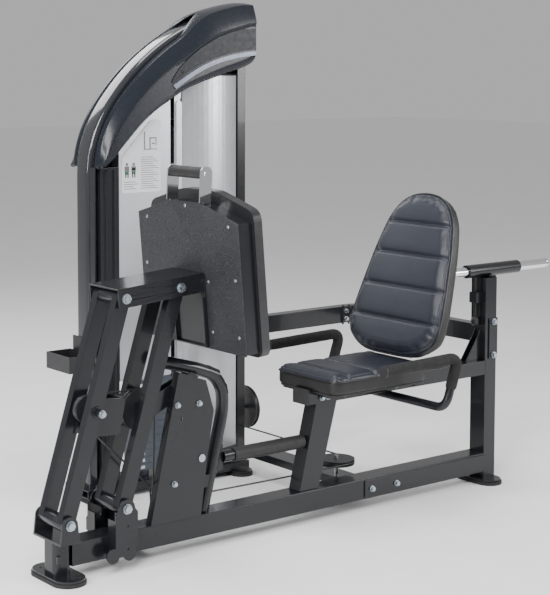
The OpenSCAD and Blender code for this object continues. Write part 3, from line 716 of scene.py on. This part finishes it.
def footplate():
    outline = rounded(plate_outline(0.285, -0.238, 0.233, 0.090, 0.288), 0.035, 6)
    bm = bmesh.new()
    prism(bm, outline, 0.0318, lambda u, v, w: plate_place(u, v, 0.0582 + w))
    bevel_edges(bm, 0.009, 4, 40)
    piece("footplate_front", bm, "plate_plastic", "carriage", ["footplate_face"])
    # raised tread lines on the side that the feet press
    bm = bmesh.new()
    for i in range(17):
        v = -0.20 + i * 0.025
        half = min(0.250, width_at(outline, v) - 0.035)
        prism(bm, rounded([(-half, v - 0.004), (half, v - 0.004), (half, v + 0.004),
                           (-half, v + 0.004)], 0.003, 2), 0.0016,
              lambda u, v, w: plate_place(u, v, 0.0899 + w))
    piece("footplate_tread", bm, "grip_rubber", "carriage")
    # small countersunk screws in the rear sheet
    bm = bmesh.new()
    spots = [(0.0, 0.243), (0.225, 0.190), (0.245, 0.03), (-0.225, 0.19), (-0.10, 0.0),
             (-0.245, 0.02), (-0.245, -0.165), (-0.105, -0.165), (0.245, -0.165), (0.105, -0.165)]
    for u, v in spots:
        screw(bm, plate_place(u, v, 0), PLATE_TURN @ Vector((-1, 0, 0)), 0.0062)
    piece("footplate_screws", bm, "zinc_bolt", "carriage")


def screw(bm, place, axis, r):
    """Round-head screw with a sunken hexagon."""
    turn = Vector((0, 0, 1)).rotation_difference(axis).to_matrix()
    start = len(bm.verts)
    profile = [(r, 0), (r * 0.95, r * 0.25), (r * 0.7, r * 0.42), (r * 0.5, r * 0.45)]
    rings = []
    for radius, h in profile:
        rings.append([bm.verts.new(place + turn @ Vector((radius * math.cos(a), radius * math.sin(a), h)))
                      for a in (math.pi * k / 12 for k in range(24))])
    for lo, hi in zip(rings, rings[1:]):
        for k in range(24):
            bm.faces.new((lo[k], lo[(k + 1) % 24], hi[(k + 1) % 24], hi[k]))
    floor = [bm.verts.new(place + turn @ Vector((r * 0.42 * math.cos(a), r * 0.42 * math.sin(a), r * 0.1)))
             for a in (math.pi * k / 12 for k in range(24))]
    for k in range(24):
        bm.faces.new((rings[-1][k], rings[-1][(k + 1) % 24], floor[(k + 1) % 24], floor[k]))
    bm.faces.new(floor)
    bm.faces.new(rings[0])


# ---- tower trim ----------------------------------------------------------------------
ARC_C1, ARC_R1, ARC_A1 = Vector((0.972, 1.190)), 0.420, 36.0
ARC_R2 = 0.880
ARC_C2 = ARC_C1 + (ARC_R2 - ARC_R1) * Vector((math.cos(math.radians(36)), -math.sin(math.radians(36))))
SHROUD_Y = 0.604
LOW_EDGE = [(0.546, 1.225), (0.598, 1.245), (0.645, 1.290), (0.760, 1.400), (0.866, 1.468),
            (0.978, 1.523), (1.215, 1.591), (1.265, 1.620)]


def arc_at(angle, grow):
    """Point at an angle along the tower's arc, grow outside the tube's middle line."""
    a = math.radians(angle)
    c, r = (ARC_C1, ARC_R1) if angle <= ARC_A1 else (ARC_C2, ARC_R2)
    return Vector((c.x - (r + grow) * math.cos(a), c.y + (r + grow) * math.sin(a)))


def strip(bm, upper, lower, y0, y1):
    """Band between two lines in X and Z, as a closed thin solid from y0 to y1."""
    outline = [tuple(p) for p in upper] + [tuple(p) for p in lower[::-1]]
    prism(bm, outline, y1 - y0, lambda x, z, w: Vector((x, y0 + w, z)))
    return bm


def resample(points, n):
    """n points evenly spaced along a smooth line through the given ones."""
    pts = [Vector(p) for p in points]
    lengths = [0.0]
    for a, b in zip(pts, pts[1:]):
        lengths.append(lengths[-1] + (b - a).length)
    out = []
    for i in range(n):
        target = lengths[-1] * i / (n - 1)
        k = max(j for j in range(len(pts)) if lengths[j] <= target + 1e-9)
        k = min(k, len(pts) - 2)
        t = (target - lengths[k]) / (lengths[k + 1] - lengths[k])
        p0, p1, p2, p3 = (pts[min(max(k + d, 0), len(pts) - 1)] for d in (-1, 0, 1, 2))
        out.append(0.5 * (2 * p1 + (p2 - p0) * t + (2 * p0 - 5 * p1 + 4 * p2 - p3) * t * t
                          + (3 * p1 - p0 - 3 * p2 + p3) * t ** 3))
    return out


def shroud_strip(side):
    """Half of the shroud: face, crease, and the roof that turns in over the arc tube."""
    n, m, turn = 64, 22, 10
    low = resample(LOW_EDGE, n)
    face = SHROUD_Y if side < 0 else 1.4 - SHROUD_Y
    grid = []
    for i in range(n):
        t = min(1.0, i / (n - 1) / 0.97)
        angle = 5 + 77.5 * t
        tuck = min(1.0, max(0.0, (72.0 - angle) / 12.0))
        tuck = tuck * tuck * (3 - 2 * tuck)
        rim = 0.033 - (0.036 if side < 0 else 0.020) * tuck
        top = arc_at(angle, rim)
        if t >= 1.0:
            top.x = low[i].x
        column = []
        for j in range(m + 1):
            s = j / m
            p = low[i].lerp(top, s)
            lip = 0.010 * math.exp(-(s / 0.05) ** 2)
            slope = 0.024 * max(0.0, (s - 0.66) / 0.34) ** 1.2
            crease = 0.005 if s < 0.66 else 0.0
            column.append(Vector((p.x, face - side * (lip + slope + crease), p.y)))
        open_half = 0.0425 * min(1.0, max(0.0, (71.0 - angle) / 9.0)) ** 0.6
        wide = abs(column[-1].y - 0.700)
        for k in range(1, turn + 1):
            t2 = k / turn
            half = wide + (open_half - wide) * t2
            grow = rim + 0.010 * (1 - (half / wide) ** 2) * (1 - tuck) + 0.004 * math.sin(3.14 * t2) * tuck
            q = arc_at(angle, grow) + (top - arc_at(angle, rim))
            column.append(Vector((q.x, 0.700 + side * half, q.y)))
        grid.append((column, open_half))
    return grid


def shroud():
    bm = bmesh.new()
    ends = []
    for side in (-1, 1):
        grid = shroud_strip(side)
        made = [[bm.verts.new(p) for p in column] for column, gap in grid]
        for a, b in zip(made, made[1:]):
            for j in range(len(a) - 1):
                bm.faces.new((a[j], a[j + 1], b[j + 1], b[j]))
        ends.append(made[-1])
    bm.faces.new(ends[0] + ends[1][::-1])
    bmesh.ops.remove_doubles(bm, verts=bm.verts, dist=0.0002)
    obj = piece("tower_shroud", bm, "shroud_plastic", "frame", ["shroud"], angle=28)
    thick = obj.modifiers.new("thickness", "SOLIDIFY")
    thick.thickness = 0.0035
    thick.offset = 0


def arc_tube():
    """The bent tube with its rounded corners, as one smooth sweep."""
    stations = [(Vector((0.552, 0.0501)), Vector((-1, 0))), (Vector((0.552, 1.190)), Vector((-1, 0)))]
    for i in range(1, 61):
        a = (82.0 * i / 60)
        turn = math.radians(a)
        stations.append((arc_at(a, 0.0), Vector((-math.cos(turn), math.sin(turn)))))
    ring = rounded([(-0.022, -0.040), (0.022, -0.040), (0.022, 0.040), (-0.022, 0.040)], 0.016, 6)
    bm = bmesh.new()
    rows = []
    for mid, out in stations:
        rows.append([bm.verts.new(Vector((mid.x + out.x * p, 0.700 + q, mid.y + out.y * p)))
                     for p, q in ring])
    n = len(ring)
    for a, b in zip(rows, rows[1:]):
        for k in range(n):
            bm.faces.new((a[k], a[(k + 1) % n], b[(k + 1) % n], b[k]))
    bm.faces.new(rows[0])
    bm.faces.new(rows[-1])
    piece("arc_bent_tube", bm, "arc_paint", "frame", ["tower_arc"], angle=60)


def shroud_trim():
    """Recessed panel, silver stripe and screws on each face of the shroud."""
    for side, name in ((-1, "near"), (1, "far")):
        y = SHROUD_Y + 0.0035 if side < 0 else 0.7925
        y0, y1 = (y - 0.0035, y) if side < 0 else (y, y + 0.0035)
        stripe_low = resample([(0.885, 1.508), (0.985, 1.566), (1.080, 1.603), (1.180, 1.625),
                               (1.262, 1.634)], 30)
        stripe_high = resample([(0.872, 1.522), (0.978, 1.581), (1.076, 1.619), (1.178, 1.641),
                                (1.262, 1.650)], 30)
        bm = strip(bmesh.new(), stripe_high, stripe_low, y0 - 0.0008 * (side < 0), y1 + 0.0008 * (side > 0))
        piece("shroud_stripe_" + name, bm, "stripe_grey", "frame")
        panel_high = resample([(0.866, 1.535), (0.905, 1.588), (0.985, 1.650), (1.090, 1.703),
                               (1.180, 1.728), (1.262, 1.738)], 30)
        panel_low = resample([(0.872, 1.530), (0.978, 1.588), (1.076, 1.625), (1.178, 1.647),
                              (1.262, 1.656)], 30)
        bm = strip(bmesh.new(), panel_high, panel_low, y0, y1)
        piece("shroud_panel_" + name, bm, "shroud_panel", "frame")
        bm = bmesh.new()
        screw(bm, Vector((0.915, y0 if side < 0 else y1, 1.572)), Vector((0, side, 0)), 0.006)
        piece("shroud_screw_" + name, bm, "cap_plastic", "frame")


def placard():
    """Instruction board: a plain card with simple figures and bars, and no lettering."""
    y = 0.6485
    card = rounded([(0.672, 1.128), (0.845, 1.128), (0.845, 1.395), (0.800, 1.395),
                    (0.672, 1.262)], 0.012, 4)
    bm = prism(bmesh.new(), card, 0.0012, lambda x, z, w: Vector((x, y + w, z)))
    piece("placard_card", bm, "card_white", "frame")

    def bars(name, slot, boxes):
        made = bmesh.new()
        for x0, x1, z0, z1 in boxes:
            prism(made, [(x0, z0), (x1, z0), (x1, z1), (x0, z1)], 0.0004,
                  lambda x, z, w: Vector((x, y - 0.0004 + w, z)))
        piece(name, made, slot, "frame")

    lines = []
    for col, (x0, x1) in enumerate(((0.757, 0.835), (0.680, 0.745))):
        rows = 15 if col == 0 else 4
        for k in range(rows):
            z = 1.142 + k * 0.0082
            lines.append((x0, x1 - 0.012 * ((k * 7 + col) % 3), z, z + 0.0022))
    bars("placard_lines", "card_grey", lines)
    figure = []
    for x in (0.694, 0.724):
        figure += [(x - 0.005, x + 0.005, 1.228, 1.238), (x - 0.010, x + 0.010, 1.206, 1.226),
                   (x - 0.008, x - 0.002, 1.184, 1.205), (x + 0.002, x + 0.008, 1.184, 1.205)]
    bars("placard_figures", "card_grey", figure)
    bars("placard_marks", "card_green", [(0.686, 0.702, 1.196, 1.206), (0.716, 0.732, 1.196, 1.206),
                                        (0.716, 0.732, 1.212, 1.219)])
    machine = [(0.770, 0.775, 1.285, 1.352), (0.770, 0.830, 1.285, 1.288), (0.795, 0.800, 1.285, 1.330),
               (0.795, 0.822, 1.326, 1.330), (0.822, 0.826, 1.300, 1.330), (0.806, 0.818, 1.305, 1.310)]
    bars("placard_diagram", "card_grey", machine)


def tower_details():
    arc_tube()
    shroud()
    shroud_trim()
    placard()
    # raised strip with a rounded top, and black strips beside the flat panels as painted shadow on their
    # edges
    bm = prism(bmesh.new(), rounded([(0.915, 0.435), (0.9395, 0.435), (0.9395, 1.462), (0.915, 1.462)],
                                    0.010, 5), 0.006, lambda x, z, w: Vector((x, 0.6438 + w, z)))
    bevel_edges(bm, 0.0015, 2, 40)
    piece("panel_strip", bm, "panel_silver", "frame")
    # painted shadow: thin black strips where the panel edges fall in shade
    bm = bmesh.new()
    for y0, y1 in ((0.6485, 0.6500), (0.7500, 0.7515)):
        prism(bm, [(0.9365, 0.432), (0.9425, 0.432), (0.9425, 1.462), (0.9365, 1.474)], y1 - y0,
              lambda x, z, w: Vector((x, y0 + w, z)))
    piece("panel_edge_painted_shadow", bm, "cap_plastic", "frame")
    # weight labels: plain pale tags on each plate
    bm = bmesh.new()
    pitch = 0.026
    for k in range(9):
        z = 0.076 + pitch * k + 0.007
        prism(bm, [(0.748, z), (0.778, z), (0.778, z + 0.011), (0.748, z + 0.011)], 0.0006,
              lambda x, zz, w: Vector((x, 0.6616 + w, zz)))
    piece("stack_tags_low", bm, "card_white", "frame")
    bm = bmesh.new()
    for k in range(6):
        z = 0.076 + pitch * (9 + k) + 0.007
        prism(bm, [(0.748, z), (0.778, z), (0.778, z + 0.011), (0.748, z + 0.011)], 0.0006,
              lambda x, zz, w: Vector((x, 0.6616 + w, zz)))
    piece("stack_tags_up", bm, "card_white", "stack")


cushions()
handle_tubes()
d_frame_skin()
cables()
arm_bolt()
footplate()
tower_details()
